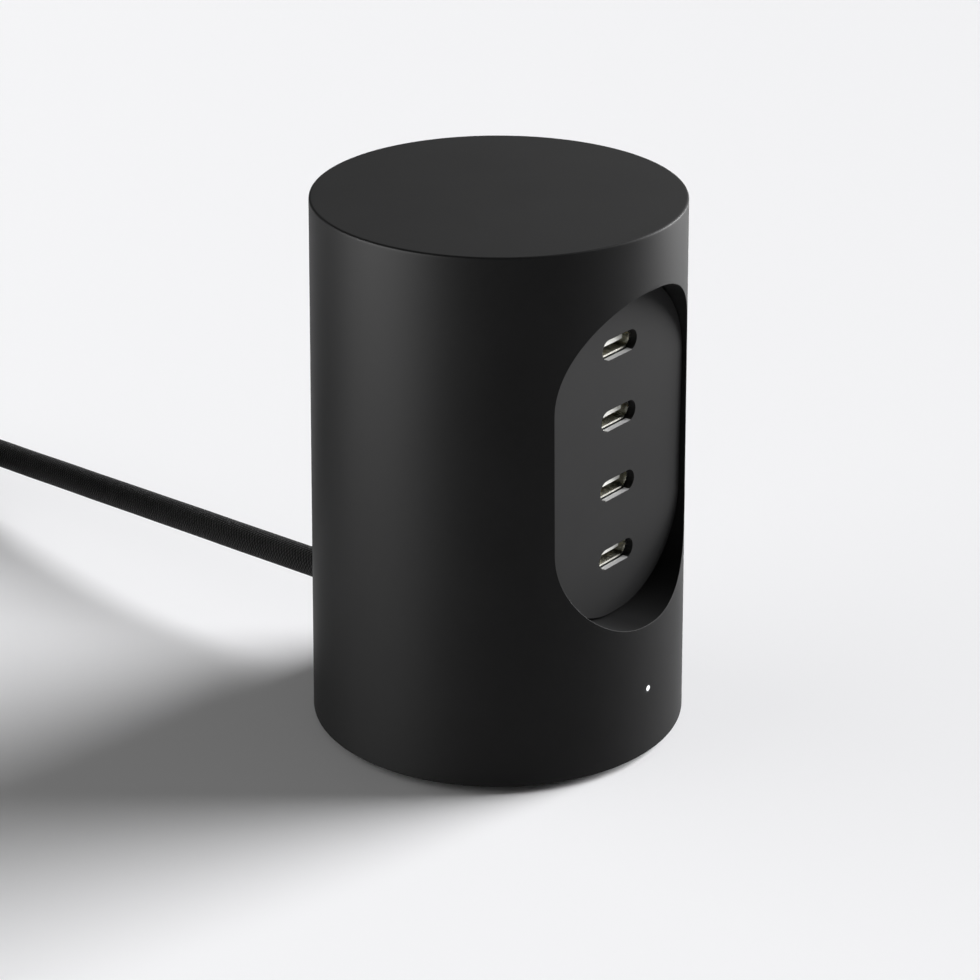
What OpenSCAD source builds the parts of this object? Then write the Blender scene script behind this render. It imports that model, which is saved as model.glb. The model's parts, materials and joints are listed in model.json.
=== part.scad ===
// Desktop USB charger: a slightly tapered round tower with four USB-C ports in a sunken panel,
// and a braided mains lead that leaves low at the back and lies coiled beside it.
// Millimetres. Z is up, the table is at z = 0, the ports face -Y and the lead leaves towards +Y.

/* [Housing] */
// Diameter across the top
top_d = 60; // [58:0.5:72]
// Diameter across the bottom edge
bottom_d = 62; // [60:0.5:74]
// Height from the bottom edge to the top
housing_h = 89.6; // [88:0.2:120]
// Thickness of the side wall
wall_t = 2.2; // [1.6:0.1:2.6]
// Thickness of the closed top
roof_t = 2.6; // [1.8:0.1:4]
// Rounding of the top's edge
top_edge_r = 0.35; // [0.2:0.05:1]

/* [Recess and panel] */
// Width of the sunken recess
recess_w = 35.2; // [33:0.2:37]
// Height of the recess
recess_h = 57; // [54:0.5:60]
// Corner radius of the recess, nearly half its width
recess_r = 16.9; // [10:0.1:17]
// Height of the recess centre above the bottom edge
recess_z = 51.7; // [50:0.1:56]
// Distance of the panel face from the axis of the tower
panel_face = 24; // [23:0.1:24.5]
// Thickness of the panel
panel_t = 1.6; // [1.2:0.1:2]
// Seam between the panel and the recess wall
panel_gap = 0.45; // [0.2:0.05:0.8]
// Width of the ledge that the panel rests on
ledge_w = 1.4; // [1:0.1:2]
// Thickness of that ledge
ledge_t = 1.4; // [1:0.1:2]

/* [Ports] */
// Distance between neighbouring ports
port_pitch = 12; // [10:0.1:12.5]
// Width of the slot in the panel
slot_w = 9.1; // [9:0.05:10]
// Height of the slot in the panel
slot_h = 3.5; // [3.3:0.05:4.2]
// Depth of the metal mouth below the panel face
mouth_depth = 1.24; // [0.6:0.02:1.5]
// Length of a port's metal shell
shell_len = 8.5; // [7.5:0.1:9.5]

/* [Status light] */
// Diameter of the light
light_d = 1.25; // [0.8:0.05:2]
// Height of the light above the bottom edge
light_z = 11.7; // [9:0.1:16]

/* [Base] */
// Gap under the housing's bottom edge
foot_gap = 1.2; // [0.6:0.1:2.5]
// Thickness of the base cover
cover_t = 3; // [2.6:0.1:4]
// Width of the rubber foot ring
foot_w = 5.2; // [4.6:0.1:6]
// Distance from the base cover's edge in to the middle of the foot ring and its screws
foot_inset = 3.4; // [3.2:0.1:4]

/* [Mains lead] */
// Diameter of the braided lead
cord_d = 5; // [4.6:0.1:5.4]
// Height of the lead above the housing's bottom edge
cord_z = 13.5; // [12.5:0.1:15]
// Length of the strain relief outside the housing
relief_out = 7; // [5:0.5:7.5]

/* [Boards] */
// Thickness of the circuit boards
board_t = 1.6; // [1:0.1:2]
// Space between the two boards
board_gap = 6.6; // [6.2:0.1:7]

/* [Hidden] */
$fn = 96;

PORTS = 4;
fit = 0.1;              // sliding clearance between moulded pieces
touch = 0.2;            // air left under a part that is glued or soldered to a board
through = 1;            // how far a cut runs past the face it opens

// The housing's outer radius and inner radius at a height above its bottom edge
function outer_r(z) = bottom_d / 2 + (top_d - bottom_d) / 2 * z / housing_h;
function inner_r(z) = outer_r(z) - wall_t;
ceiling_z = housing_h - roof_t;

// Recess: the panel sits on a ledge, and a frame behind the recess carries the ledge
frame_w = 1.6;
panel_back_y = -panel_face + panel_t;
ledge_back_y = panel_back_y + ledge_t;
outside_y = -bottom_d / 2 - through;

// Panel clips, which pass the ledge and hook behind it
clip_w = 6;
clip_t = 1;
clip_hook = 0.6;
clip_len = 2;

// USB-C receptacle sizes
shell_w = 8.94;
shell_h = 3.16;
shell_t = 0.3;
tongue_w = 6.69;
tongue_h = 0.7;
tongue_back = 0.76;     // tongue tip behind the mouth
insulator_len = 2.8;    // plug of insulator that closes the shell's rear
contact_pitch = 0.5;
contact_w = 0.25;
contact_t = 0.12;
CONTACTS = 12;
leg_w = 0.8;
leg_len = 0.7;          // how far a shell leg stands out behind the board
leg_x = shell_w / 2 - shell_t / 2;
leg_z = 0.7;
mouth_y = -panel_face + mouth_depth;
function port_z(i) = recess_z + (i - (PORTS + 1) / 2) * port_pitch;

// Boards, counted back from the ports
port_board_y = mouth_y + shell_len;
port_back_y = port_board_y + board_t;
main_front_y = port_back_y + board_gap;
main_back_y = main_front_y + board_t;

// Inner frame: floor, two grooved side walls, brace and pad up to the ceiling
frame_floor_t = 1.6;
frame_floor_z = cover_t + frame_floor_t;
brace_t = 1.6;
pad_t = 3;
stack_top = ceiling_z - pad_t - brace_t;
board_top = stack_top - fit;
groove_d = 1;
side_t = 2.4;
side_gap = 0.8;         // air between the frame and the housing
side_front_y = port_board_y - 1.8;
side_back_y = 10;
side_x = sqrt(pow(inner_r(stack_top + brace_t) - side_gap, 2) - pow(side_front_y, 2));
side_in_x = side_x - side_t;
board_x = side_in_x + groove_d - fit;

// Base cover, and screw bosses for it, clear of the frame, the light and the lead
cover_r = inner_r(0) - 2 * fit;
foot_circle_r = cover_r - foot_inset;
BOSS_ANGLES = [45, 135, 240, 300];
boss_r = 3.2;
boss_h = 9;
screw_d = 2;
screw_head_d = 4;
screw_head_h = 1.1;
screw_len = 8;
foot_seat = 0.8;        // depth of the groove that the foot ring sits in

// Light pipe and its boss
light_boss_d = 4.4;
light_boss_y = -24.6;
light_flange_d = 3.2;
light_flange_t = 0.8;
led_h = 0.6;
led_air = 0.3;

// Strain relief, along the lead's axis
gland_hole_d = 8.4;
gland_boss_d = 14;
gland_seat_y = 26.5;
gland_flange_d = 12;
gland_flange_t = 2;
gland_sleeve_d = 7.4;
gland_inner_y = 16.5;
gland_tip_d = 6.2;
gland_tip_y = outer_r(cord_z) + relief_out;

// Clamp over the strain relief's sleeve
clamp_y0 = 17;
clamp_y1 = 23.5;
clamp_x = 8;
clamp_h = 5.5;
clamp_split = 0.4;
clamp_screw_x = 6;
clamp_screw_len = 8;

// Capacitors beside the frame's walls
x_cap_gap = 2.4;
can_gap = 1.3;
can_foot_d = 6.6;
can_foot_t = 0.8;
can_d = 6.3;
can_h = 5.6;

// Transformer, choke, capacitors and the plate that takes their heat away
core_w = 27;
core_d = 19;
core_h = 20;
core_post_d = 12;
core_window_r = 11;
core_window_h = 13.4;
core_z = 41;
bobbin_base_t = 1.6;
bobbin_t = 0.9;
bobbin_air = 0.15;
winding_d = 20.6;
core_y = main_back_y + bobbin_base_t;
core_mid_y = core_y + core_h / 2;
core_back_y = core_y + core_h;
thermal_pad_t = 0.8;
spreader_t = 1;
spreader_y = core_back_y + thermal_pad_t;
spreader_front_y = 4;
spreader_z0 = 27;
spreader_bend_r = 3;
spreader_screw_y = 7;
SPREADER_SCREW_Z = [34, 74];
bulk_d = 16;
bulk_len = 26;
bulk_x = 8.6;
bulk_z = stack_top - bulk_len - 1.4;
choke_pos = [12, 0, 14];
choke_base_t = 1.2;
choke_core_r = [4.2, 6.8];
choke_core_h = 6.8;
choke_wind_r = [3.1, 7.9];
choke_wind_h = 9.2;
choke_wind_angle = 150;
choke_y = main_back_y + choke_base_t + choke_wind_r[1];

// The lead's route: level out of the strain relief, then easing down onto the coil
CORD_SIDES = 12;
CORD_ROUTE = [[0, 15, 14.7], [0, 26, 14.7], [0, 38, 14.7], [0, 48, 14.7], [0.3, 58, 14.5],
    [1, 68, 14.1], [2.1, 78, 13.4], [3.4, 88, 12.6], [4.8, 98, 11.7], [6.3, 108, 10.8],
    [7.7, 118, 9.9], [8.9, 128, 9.2], [9.7, 138, 8.6], [10.1, 145, 8.4], [10.2, 152, 8.3],
    [8.8, 162.8, 7.9], [4.6, 172.9, 7]];
TAIL_ROUTE = [[-7.1, 176.5, 10], [-14.2, 182.2, 11.3], [-22.5, 185.9, 12.9], [-31.6, 187.3, 14.5],
    [-39.6, 185.7, 15.8], [-46.4, 181.1, 16.8], [-51, 174.3, 17.5], [-52.6, 166.3, 17.8],
    [-52.6, 162, 17.8]];
coil_centre = [-31.6, 152];
coil_in_r = 21;         // middle of the innermost turn
coil_low_r = 41.8;      // middle of the lower layer's outermost turn
coil_high_r = 35.3;     // middle of the upper layer's outermost turn
coil_z = 0.8;           // the coil rests on its tie
tie_t = 0.8;
tie_angle = 18;
tie_at = 165;

// Two-pin plug, lying flat on the coil with its pins towards -Y
plug_t = 13.8;
plug_w = 35.3;
plug_back_w = 15;
plug_len = 26;
plug_relief_len = 22;
plug_edge_r = 5;
plug_pos = [-52.6, 162, 17.8];
pin_d = 4;
pin_core_d = 3;
pin_spacing = 18.6;
pin_len = 19;
pin_sleeve_len = 10;
pin_sleeve_d = 3.8;
pin_root = 8;

// Wires from the lead's end to the main board
WIRE_SIDES = 8;
wire_d = 1.8;
WIRE_ROUTE = [[1.1, 15, 14.7], [1.1, 13, 14.7], [1.2, 11, 14.9], [1.5, 8, 15.6],
    [2, 5, 16.9], [2.6, 2, 18.6], [2.9, -1, 20], [3, -3, 20.5]];

// Everything that stands on the base cover is drawn from the housing's bottom edge
module lifted() {
    translate([0, 0, foot_gap]) children();
}

// A block between two corners
module block(low, high) {
    translate(low) cube(high - low);
}

// A flat outline in X and Z made solid from y0 to y1
module slab(y0, y1) {
    translate([0, y1, 0]) rotate([90, 0, 0]) linear_extrude(y1 - y0) children();
}

// A round bar along Y, of diameter d0 at y0 and d1 at y1
module bar_y(y0, y1, d0, d1) {
    translate([0, y0, 0]) rotate([-90, 0, 0]) cylinder(h = y1 - y0, d1 = d0, d2 = d1);
}

// A centred rectangle with round corners, or round ends where r is half its height
module round_rect(w, h, r) {
    square([w - 2 * r, h], center = true);
    if (h > 2 * r) square([w, h - 2 * r], center = true);
    for (x = [-1, 1], y = [-1, 1]) {
        translate([x * (w / 2 - r), y * (h / 2 - r)]) circle(r = r);
    }
}

// The recess's outline, grown by g on every side
module recess_outline(g) {
    translate([0, recess_z]) round_rect(recess_w + 2 * g, recess_h + 2 * g, recess_r + g);
}

// A screw along +Z with its head's seat at z = 0 and its shank below
module screw(d, len, head_d, head_h) {
    translate([0, 0, -len]) cylinder(d = d, h = len);
    difference() {
        cylinder(d = head_d, h = head_h);
        translate([0, 0, head_h / 2]) {
            for (a = [0, 90]) rotate(a) cube([head_d * 0.6, 0.5, head_h + through], center = true);
        }
    }
}

// A tube swept along points, with square ends
function unit(v) = v / norm(v);
function heading(p, i) = unit(p[min(i + 1, len(p) - 1)] - p[max(i - 1, 0)]);
function ring(p, i, r, sides) = let (
    t = heading(p, i),
    side = unit(cross([0, 0, 1], t)),
    up = cross(t, side)
) [for (k = [0:sides - 1]) p[i] + r * (cos(360 * k / sides) * side + sin(360 * k / sides) * up)];

module tube(p, d, sides) {
    rings = len(p);
    skin = [for (i = [0:rings - 2], k = [0:sides - 1]) let (m = (k + 1) % sides)
        [i * sides + k, (i + 1) * sides + k, (i + 1) * sides + m, i * sides + m]];
    first = [for (k = [0:sides - 1]) k];
    last = [for (k = [sides - 1:-1:0]) (rings - 1) * sides + k];
    polyhedron([for (i = [0:rings - 1]) each ring(p, i, d / 2, sides)], concat(skin, [first, last]));
}

// The tower's solid outer form, with its rounded top edge
module tower_form() {
    edge_x = outer_r(housing_h - top_edge_r);
    rotate_extrude() {
        polygon([[0, 0], [outer_r(0), 0], [edge_x, housing_h - top_edge_r],
            [edge_x - top_edge_r, housing_h], [0, housing_h]]);
        intersection() {
            translate([edge_x - top_edge_r, housing_h - top_edge_r]) circle(r = top_edge_r);
            translate([edge_x - top_edge_r, housing_h - top_edge_r]) square(top_edge_r);
        }
    }
}

module cavity_form() {
    translate([0, 0, -through]) {
        cylinder(r1 = inner_r(-through), r2 = inner_r(ceiling_z), h = ceiling_z + through);
    }
}

// Bosses that the base cover is screwed to, each with a rib to the wall
module cover_bosses() {
    for (a = BOSS_ANGLES) rotate(a) {
        translate([foot_circle_r, 0, cover_t]) cylinder(r = boss_r, h = boss_h);
        translate([foot_circle_r, -1, cover_t]) cube([inner_r(0) + wall_t / 2 - foot_circle_r, 2, boss_h]);
    }
}

module housing() color([0.13, 0.13, 0.13]) lifted() {
    difference() {
        intersection() {
            tower_form();
            union() {
                difference() {
                    tower_form();
                    cavity_form();
                }
                slab(outside_y, ledge_back_y) recess_outline(frame_w);
                translate([0, 0, light_z]) bar_y(outside_y, light_boss_y, light_boss_d, light_boss_d);
                translate([0, 0, cord_z]) bar_y(gland_seat_y, bottom_d / 2, gland_boss_d, gland_boss_d);
                cover_bosses();
            }
        }
        slab(outside_y, panel_back_y) recess_outline(0);
        slab(panel_back_y - through, ledge_back_y + through) recess_outline(-ledge_w);
        translate([0, 0, light_z]) {
            bar_y(outside_y, light_boss_y + through, light_d + fit, light_d + fit);
        }
        translate([0, 0, cord_z]) {
            bar_y(gland_seat_y - through, bottom_d / 2 + through, gland_hole_d, gland_hole_d);
        }
        for (a = BOSS_ANGLES) rotate(a) {
            translate([foot_circle_r, 0, cover_t - through]) cylinder(d = screw_d, h = boss_h);
        }
    }
}

// Base: cover, foot ring and screws
module ring_form(r, w, z0, z1) {
    translate([0, 0, z0]) difference() {
        cylinder(r = r + w / 2, h = z1 - z0);
        translate([0, 0, -through]) cylinder(r = r - w / 2, h = z1 - z0 + 2 * through);
    }
}

module base_cover() color([0.16, 0.16, 0.16]) lifted() {
    difference() {
        cylinder(r = cover_r, h = cover_t);
        ring_form(foot_circle_r, foot_w, -through, foot_seat);
        for (a = BOSS_ANGLES) rotate(a) translate([foot_circle_r, 0, 0]) {
            cylinder(d = screw_d, h = cover_t + through);
            cylinder(d = screw_head_d + 2 * fit, h = foot_seat + screw_head_h);
        }
    }
}

module foot_ring() color([0.2, 0.2, 0.2]) {
    ring_form(foot_circle_r, foot_w, 0, foot_gap + foot_seat);
}

module cover_screws() color([0.7, 0.7, 0.72]) lifted() {
    for (a = BOSS_ANGLES) rotate(a) translate([foot_circle_r, 0, foot_seat + screw_head_h]) {
        mirror([0, 0, 1]) screw(screw_d, screw_len, screw_head_d, screw_head_h);
    }
}

// Panel: one hook that passes the ledge, pointing towards +X
module panel_clip() {
    linear_extrude(clip_w, center = true) {
        polygon([[-clip_t, 0], [0, 0], [0, ledge_t + fit], [clip_hook, ledge_t + fit],
            [0, ledge_t + clip_len], [-clip_t, ledge_t + clip_len]]);
    }
}

module port_panel() color([0.24, 0.24, 0.24]) lifted() {
    difference() {
        slab(-panel_face, panel_back_y) recess_outline(-panel_gap);
        for (i = [1:PORTS]) translate([0, 0, port_z(i)]) {
            slab(-panel_face - through, panel_back_y + through) round_rect(slot_w, slot_h, slot_h / 2);
        }
    }
    for (s = [0, 1]) {
        mirror([s, 0, 0]) translate([recess_w / 2 - ledge_w - fit, panel_back_y, recess_z]) panel_clip();
        translate([0, panel_back_y, recess_z]) mirror([0, 0, s]) {
            translate([0, 0, recess_h / 2 - ledge_w - clip_w * clip_w / 8 / recess_r - fit]) {
                rotate([0, -90, 0]) panel_clip();
            }
        }
    }
}

// Ports: metal shell with four legs, insulator with its tongue, and the contacts in it
module leg_marks(grow, y0, y1) {
    for (x = [-1, 1], z = [-1, 1]) {
        block([x * leg_x - shell_t / 2 - grow, y0, z * leg_z - leg_w / 2 - grow],
            [x * leg_x + shell_t / 2 + grow, y1, z * leg_z + leg_w / 2 + grow]);
    }
}

module usb_shell(i) color([0.75, 0.75, 0.74]) lifted() translate([0, 0, port_z(i)]) {
    slab(mouth_y, port_board_y) difference() {
        round_rect(shell_w, shell_h, shell_h / 2);
        round_rect(shell_w - 2 * shell_t, shell_h - 2 * shell_t, shell_h / 2 - shell_t);
    }
    leg_marks(0, port_board_y, port_back_y + leg_len);
}

module contact_marks() {
    for (s = [-1, 1], k = [1:CONTACTS]) {
        x = (k - (CONTACTS + 1) / 2) * contact_pitch;
        z = s * (tongue_h / 2 - contact_t / 2);
        block([x - contact_w / 2, mouth_y + 2 * tongue_back, z - contact_t / 2],
            [x + contact_w / 2, port_board_y - insulator_len, z + contact_t / 2]);
    }
}

module usb_insulator(i) color([0.93, 0.93, 0.9]) lifted() translate([0, 0, port_z(i)]) {
    difference() {
        union() {
            slab(port_board_y - insulator_len, port_board_y) {
                round_rect(shell_w - 2 * shell_t, shell_h - 2 * shell_t, shell_h / 2 - shell_t);
            }
            slab(mouth_y + tongue_back, port_board_y - insulator_len) {
                square([tongue_w, tongue_h], center = true);
            }
        }
        contact_marks();
    }
}

module usb_contacts() color([0.85, 0.7, 0.35]) lifted() {
    for (i = [1:PORTS]) translate([0, 0, port_z(i)]) contact_marks();
}

// Status light
module light_pipe() color([0.95, 0.95, 0.95]) lifted() {
    intersection() {
        tower_form();
        translate([0, 0, light_z]) {
            bar_y(outside_y, port_board_y - led_h - led_air, light_d, light_d);
            bar_y(light_boss_y, light_boss_y + light_flange_t, light_flange_d, light_flange_d);
        }
    }
}

module status_led() color([1, 1, 0.9]) lifted() translate([0, 0, light_z]) {
    block([-0.8, port_board_y - led_h, -0.4], [0.8, port_board_y, 0.4]);
}

// Boards and what is soldered to them
module board(y) {
    slab(y, y + board_t) translate([0, (frame_floor_z + board_top) / 2]) {
        round_rect(2 * board_x, board_top - frame_floor_z, 1);
    }
}

module port_board() color([0.1, 0.35, 0.2]) lifted() {
    difference() {
        board(port_board_y);
        for (i = [1:PORTS]) translate([0, 0, port_z(i)]) {
            leg_marks(fit, port_board_y - through, port_back_y + through);
        }
    }
}

module port_inductors() color([0.3, 0.3, 0.32]) lifted() {
    for (i = [1:PORTS]) translate([-9, 0, port_z(i)]) {
        slab(port_back_y, port_back_y + 3.2) round_rect(6.6, 6.6, 1);
    }
}

module port_controllers() color([0.08, 0.08, 0.08]) lifted() {
    for (i = [1:PORTS]) translate([8, 0, port_z(i)]) {
        block([-2.5, port_back_y, -2.5], [2.5, port_back_y + 0.9, 2.5]);
    }
}

module port_capacitors() color([0.8, 0.8, 0.82]) lifted() {
    for (i = [1:PORTS]) translate([side_in_x - can_gap - can_foot_d / 2, 0, port_z(i)]) {
        bar_y(port_back_y, port_back_y + can_foot_t, can_foot_d, can_foot_d);
        bar_y(port_back_y + can_foot_t, port_back_y + can_h, can_d, can_d);
    }
}

module board_header() color([0.12, 0.12, 0.12]) lifted() {
    block([-12, port_back_y, frame_floor_z + 2], [12, main_front_y, frame_floor_z + 4.5]);
}

module main_board() color([0.1, 0.35, 0.2]) lifted() {
    board(main_front_y);
}

module power_chips() color([0.08, 0.08, 0.08]) lifted() {
    for (p = [[-7, 40], [7, 40], [0, 62]]) translate([p[0], 0, p[1]]) {
        block([-4, main_front_y - 1, -4], [4, main_front_y, 4]);
    }
}

module bridge_rectifier() color([0.1, 0.1, 0.1]) lifted() {
    block([4, main_front_y - 2.6, 20], [14, main_front_y, 28]);
}

module x_capacitor() color([0.85, 0.75, 0.2]) lifted() {
    x = -side_in_x + x_cap_gap;
    block([x, main_back_y, frame_floor_z + 1], [x + 11.5, main_back_y + 11, frame_floor_z + 19]);
}

module fuse() color([0.75, 0.75, 0.7]) lifted() {
    translate([0, main_back_y + touch + 2.2, frame_floor_z + 1]) {
        cylinder(d = 4.4, h = 2);
        translate([0, 0, 2]) cylinder(d = 4, h = 6.5);
        translate([0, 0, 8.5]) cylinder(d = 4.4, h = 2);
    }
}

// Common-mode choke: a ferrite ring with two windings, standing on its base
module choke_base() color([0.15, 0.15, 0.15]) lifted() {
    x = choke_pos[0];
    z = choke_pos[2];
    block([x - 5, main_back_y, z - 8], [x + 5, main_back_y + choke_base_t, z + 8]);
}

module choke_section(r, h) {
    translate([r[0], -h / 2]) square([r[1] - r[0], h]);
}

module choke_place() {
    translate([choke_pos[0], choke_y, choke_pos[2]]) rotate([0, 90, 0]) children();
}

module choke_core() color([0.25, 0.26, 0.28]) lifted() choke_place() {
    rotate_extrude() choke_section(choke_core_r, choke_core_h);
}

module choke_windings() color([0.75, 0.45, 0.25]) lifted() choke_place() {
    for (side = [0, 180]) rotate(side - choke_wind_angle / 2) {
        rotate_extrude(angle = choke_wind_angle) difference() {
            choke_section(choke_wind_r, choke_wind_h);
            choke_section(choke_core_r, choke_core_h);
        }
    }
}

// Transformer: two ferrite halves round a bobbin, with its axis along Y
module core_half() {
    difference() {
        translate([-core_w / 2, -core_d / 2, 0]) cube([core_w, core_d, core_h / 2]);
        difference() {
            translate([0, 0, -through]) cylinder(r = core_window_r, h = core_window_h / 2 + through);
            translate([0, 0, -2 * through]) cylinder(d = core_post_d, h = core_window_h + 2 * through);
        }
    }
}

module transformer_core() color([0.2, 0.2, 0.22]) lifted() {
    for (s = [-90, 90]) translate([0, core_mid_y, core_z]) rotate([s, 0, 0]) core_half();
}

bobbin_d = core_post_d + 2 * bobbin_air;
bobbin_half = core_window_h / 2 - bobbin_air;

module transformer_bobbin() color([0.1, 0.1, 0.1]) lifted() translate([0, 0, core_z]) {
    rim_d = 2 * core_window_r - 2 * bobbin_air;
    difference() {
        union() {
            bar_y(core_mid_y - bobbin_half, core_mid_y + bobbin_half, bobbin_d + 2, bobbin_d + 2);
            bar_y(core_mid_y - bobbin_half, core_mid_y - bobbin_half + bobbin_t, rim_d, rim_d);
            bar_y(core_mid_y + bobbin_half - bobbin_t, core_mid_y + bobbin_half, rim_d, rim_d);
            for (s = [0, 1]) mirror([0, 0, s]) {
                block([-9, main_back_y, core_d / 2 + bobbin_air],
                    [9, core_mid_y - bobbin_half + bobbin_t, core_d / 2 + 2.6]);
            }
        }
        bar_y(core_y - through, core_back_y + through, bobbin_d, bobbin_d);
    }
}

module transformer_winding() color([0.8, 0.65, 0.2]) lifted() translate([0, 0, core_z]) {
    reach = bobbin_half - bobbin_t;
    difference() {
        bar_y(core_mid_y - reach, core_mid_y + reach, winding_d, winding_d);
        bar_y(core_y, core_back_y, bobbin_d + 2, bobbin_d + 2);
    }
}

// Two bulk capacitors lying along the main board, each with a crimp groove near its foot
module bulk_capacitors() color([0.15, 0.17, 0.3]) lifted() {
    for (x = [-bulk_x, bulk_x]) translate([x, main_back_y + touch + bulk_d / 2, bulk_z]) {
        rotate_extrude() difference() {
            translate([0, 0]) square([bulk_d / 2, bulk_len]);
            translate([bulk_d / 2 + 0.3, 3]) circle(r = 1);
            translate([bulk_d / 2 - 0.6, bulk_len - 0.6]) difference() {
                square(1);
                circle(r = 0.6);
            }
        }
    }
}

module thermal_pad() color([0.6, 0.7, 0.8]) lifted() {
    block([-core_w / 2 + 1.5, core_back_y, core_z - core_d / 2 + 1],
        [core_w / 2 - 1.5, spreader_y, core_z + core_d / 2 - 1]);
}

// Heat spreader: a folded plate behind the parts, screwed to the frame's side walls
module heat_spreader() color([0.8, 0.81, 0.82]) lifted() {
    depth = 2 * (spreader_y + spreader_t - spreader_front_y);
    translate([0, spreader_front_y, spreader_z0]) linear_extrude(board_top - spreader_z0) {
        difference() {
            round_rect(2 * side_in_x, depth, spreader_bend_r);
            round_rect(2 * (side_in_x - spreader_t), depth - 2 * spreader_t, spreader_bend_r - spreader_t);
            translate([-side_x, -depth]) square([2 * side_x, depth]);
        }
    }
}

module spreader_screws() color([0.7, 0.7, 0.72]) lifted() {
    for (s = [-1, 1], z = SPREADER_SCREW_Z) {
        translate([s * side_x, spreader_screw_y, z]) rotate([0, s * 90, 0]) {
            screw(screw_d, side_t, screw_head_d, screw_head_h);
        }
    }
}

// Inner frame: floor, grooved side walls with windows, and the lower half of the lead's clamp
module inner_frame() color([0.55, 0.56, 0.58]) lifted() {
    difference() {
        union() {
            translate([0, 0, cover_t]) cylinder(r = inner_r(cover_t) - side_gap, h = frame_floor_t);
            for (s = [0, 1]) mirror([s, 0, 0]) {
                block([side_in_x, side_front_y, cover_t], [side_x, side_back_y, stack_top]);
            }
            block([-clamp_x, clamp_y0, cover_t], [clamp_x, clamp_y1, cord_z - clamp_split / 2]);
        }
        for (a = BOSS_ANGLES) rotate(a) {
            translate([foot_circle_r, 0, cover_t - through]) {
                cylinder(r = boss_r + side_gap / 2, h = frame_floor_t + 2 * through);
                translate([0, -2, 0]) cube([wall_t * 3, 4, frame_floor_t + 2 * through]);
            }
        }
        for (s = [0, 1], y = [port_board_y, main_front_y]) mirror([s, 0, 0]) {
            block([side_in_x - through, y - fit / 2, frame_floor_z],
                [side_in_x + groove_d, y + board_t + fit / 2, stack_top + through]);
        }
        for (s = [0, 1], z = [40, 60]) mirror([s, 0, 0]) {
            block([side_in_x - through, main_back_y + 2.5, z], [side_x + through, side_back_y - 2, z + 8]);
        }
        for (s = [-1, 1], z = SPREADER_SCREW_Z) translate([0, spreader_screw_y, z]) {
            rotate([0, s * 90, 0]) cylinder(d = screw_d, h = side_x + through);
        }
        translate([0, 0, cord_z]) {
            bar_y(clamp_y0 - through, clamp_y1 + through, gland_sleeve_d, gland_sleeve_d);
        }
        for (x = [-clamp_screw_x, clamp_screw_x]) {
            translate([x, (clamp_y0 + clamp_y1) / 2, cord_z + clamp_h - clamp_screw_len]) {
                cylinder(d = screw_d, h = clamp_screw_len);
            }
        }
        brace_pegs(fit / 2);
    }
}

module brace_pegs(grow) {
    for (s = [-1, 1], y = [side_front_y + 6.5, side_back_y - 2.5]) {
        translate([s * (side_x - side_t / 2), y, stack_top - 2 - grow]) {
            cylinder(d = 1.4 + 2 * grow, h = 2 + 2 * grow);
        }
    }
}

module top_brace() color([0.55, 0.56, 0.58]) lifted() {
    difference() {
        block([-side_x, side_front_y, stack_top], [side_x, side_back_y, stack_top + brace_t]);
        for (x = [-1, 1]) translate([x * side_x / 2, (side_front_y + side_back_y) / 2, stack_top - through]) {
            translate([-5, -9, 0]) cube([10, 5, brace_t + 2 * through]);
            translate([-5, 4, 0]) cube([10, 5, brace_t + 2 * through]);
        }
    }
    brace_pegs(0);
}

module top_pad() color([0.3, 0.3, 0.3]) lifted() {
    mid_y = (side_front_y + side_back_y) / 2;
    block([-14, mid_y - 3.5, stack_top + brace_t], [14, mid_y + 3.5, ceiling_z]);
}

// Strain relief: sleeve in the clamp, flange behind the wall, neck in the wall, tapered tip outside
module cord_gland() color([0.12, 0.12, 0.12]) lifted() translate([0, 0, cord_z]) {
    neck_d = gland_hole_d - 2 * fit;
    wall_y = outer_r(cord_z);
    tip_len = gland_tip_y - wall_y;
    difference() {
        union() {
            bar_y(gland_inner_y, gland_seat_y - gland_flange_t, gland_sleeve_d, gland_sleeve_d);
            bar_y(gland_seat_y - gland_flange_t, gland_seat_y, gland_flange_d, gland_flange_d);
            bar_y(gland_seat_y, wall_y, neck_d, neck_d);
            bar_y(wall_y, gland_tip_y, neck_d, gland_tip_d);
        }
        bar_y(gland_inner_y - through, gland_tip_y + through, cord_d, cord_d);
        for (k = [1:3]) difference() {
            bar_y(wall_y + tip_len * (k - 0.3) / 4, wall_y + tip_len * (k + 0.3) / 4, neck_d + 1, neck_d + 1);
            bar_y(wall_y, gland_tip_y, cord_d + 0.8, cord_d + 0.8);
            block([-1.2, wall_y, -neck_d], [1.2, gland_tip_y, neck_d]);
        }
    }
}

module cord_clamp() color([0.55, 0.56, 0.58]) lifted() {
    difference() {
        block([-clamp_x, clamp_y0, cord_z + clamp_split / 2], [clamp_x, clamp_y1, cord_z + clamp_h]);
        translate([0, 0, cord_z]) {
            bar_y(clamp_y0 - through, clamp_y1 + through, gland_sleeve_d, gland_sleeve_d);
        }
        for (x = [-clamp_screw_x, clamp_screw_x]) {
            translate([x, (clamp_y0 + clamp_y1) / 2, cord_z]) cylinder(d = screw_d, h = clamp_h + through);
        }
    }
}

module clamp_screws() color([0.7, 0.7, 0.72]) lifted() {
    for (x = [-clamp_screw_x, clamp_screw_x]) {
        translate([x, (clamp_y0 + clamp_y1) / 2, cord_z + clamp_h]) {
            screw(screw_d, clamp_screw_len, screw_head_d - 0.4, screw_head_h);
        }
    }
}

// Wires from the lead's end to the board
module lead_live() color([0.4, 0.22, 0.12]) {
    tube(WIRE_ROUTE, wire_d, WIRE_SIDES);
}

module lead_neutral() color([0.1, 0.25, 0.6]) {
    tube([for (p = WIRE_ROUTE) [-p[0], p[1], p[2]]], wire_d, WIRE_SIDES);
}

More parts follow.
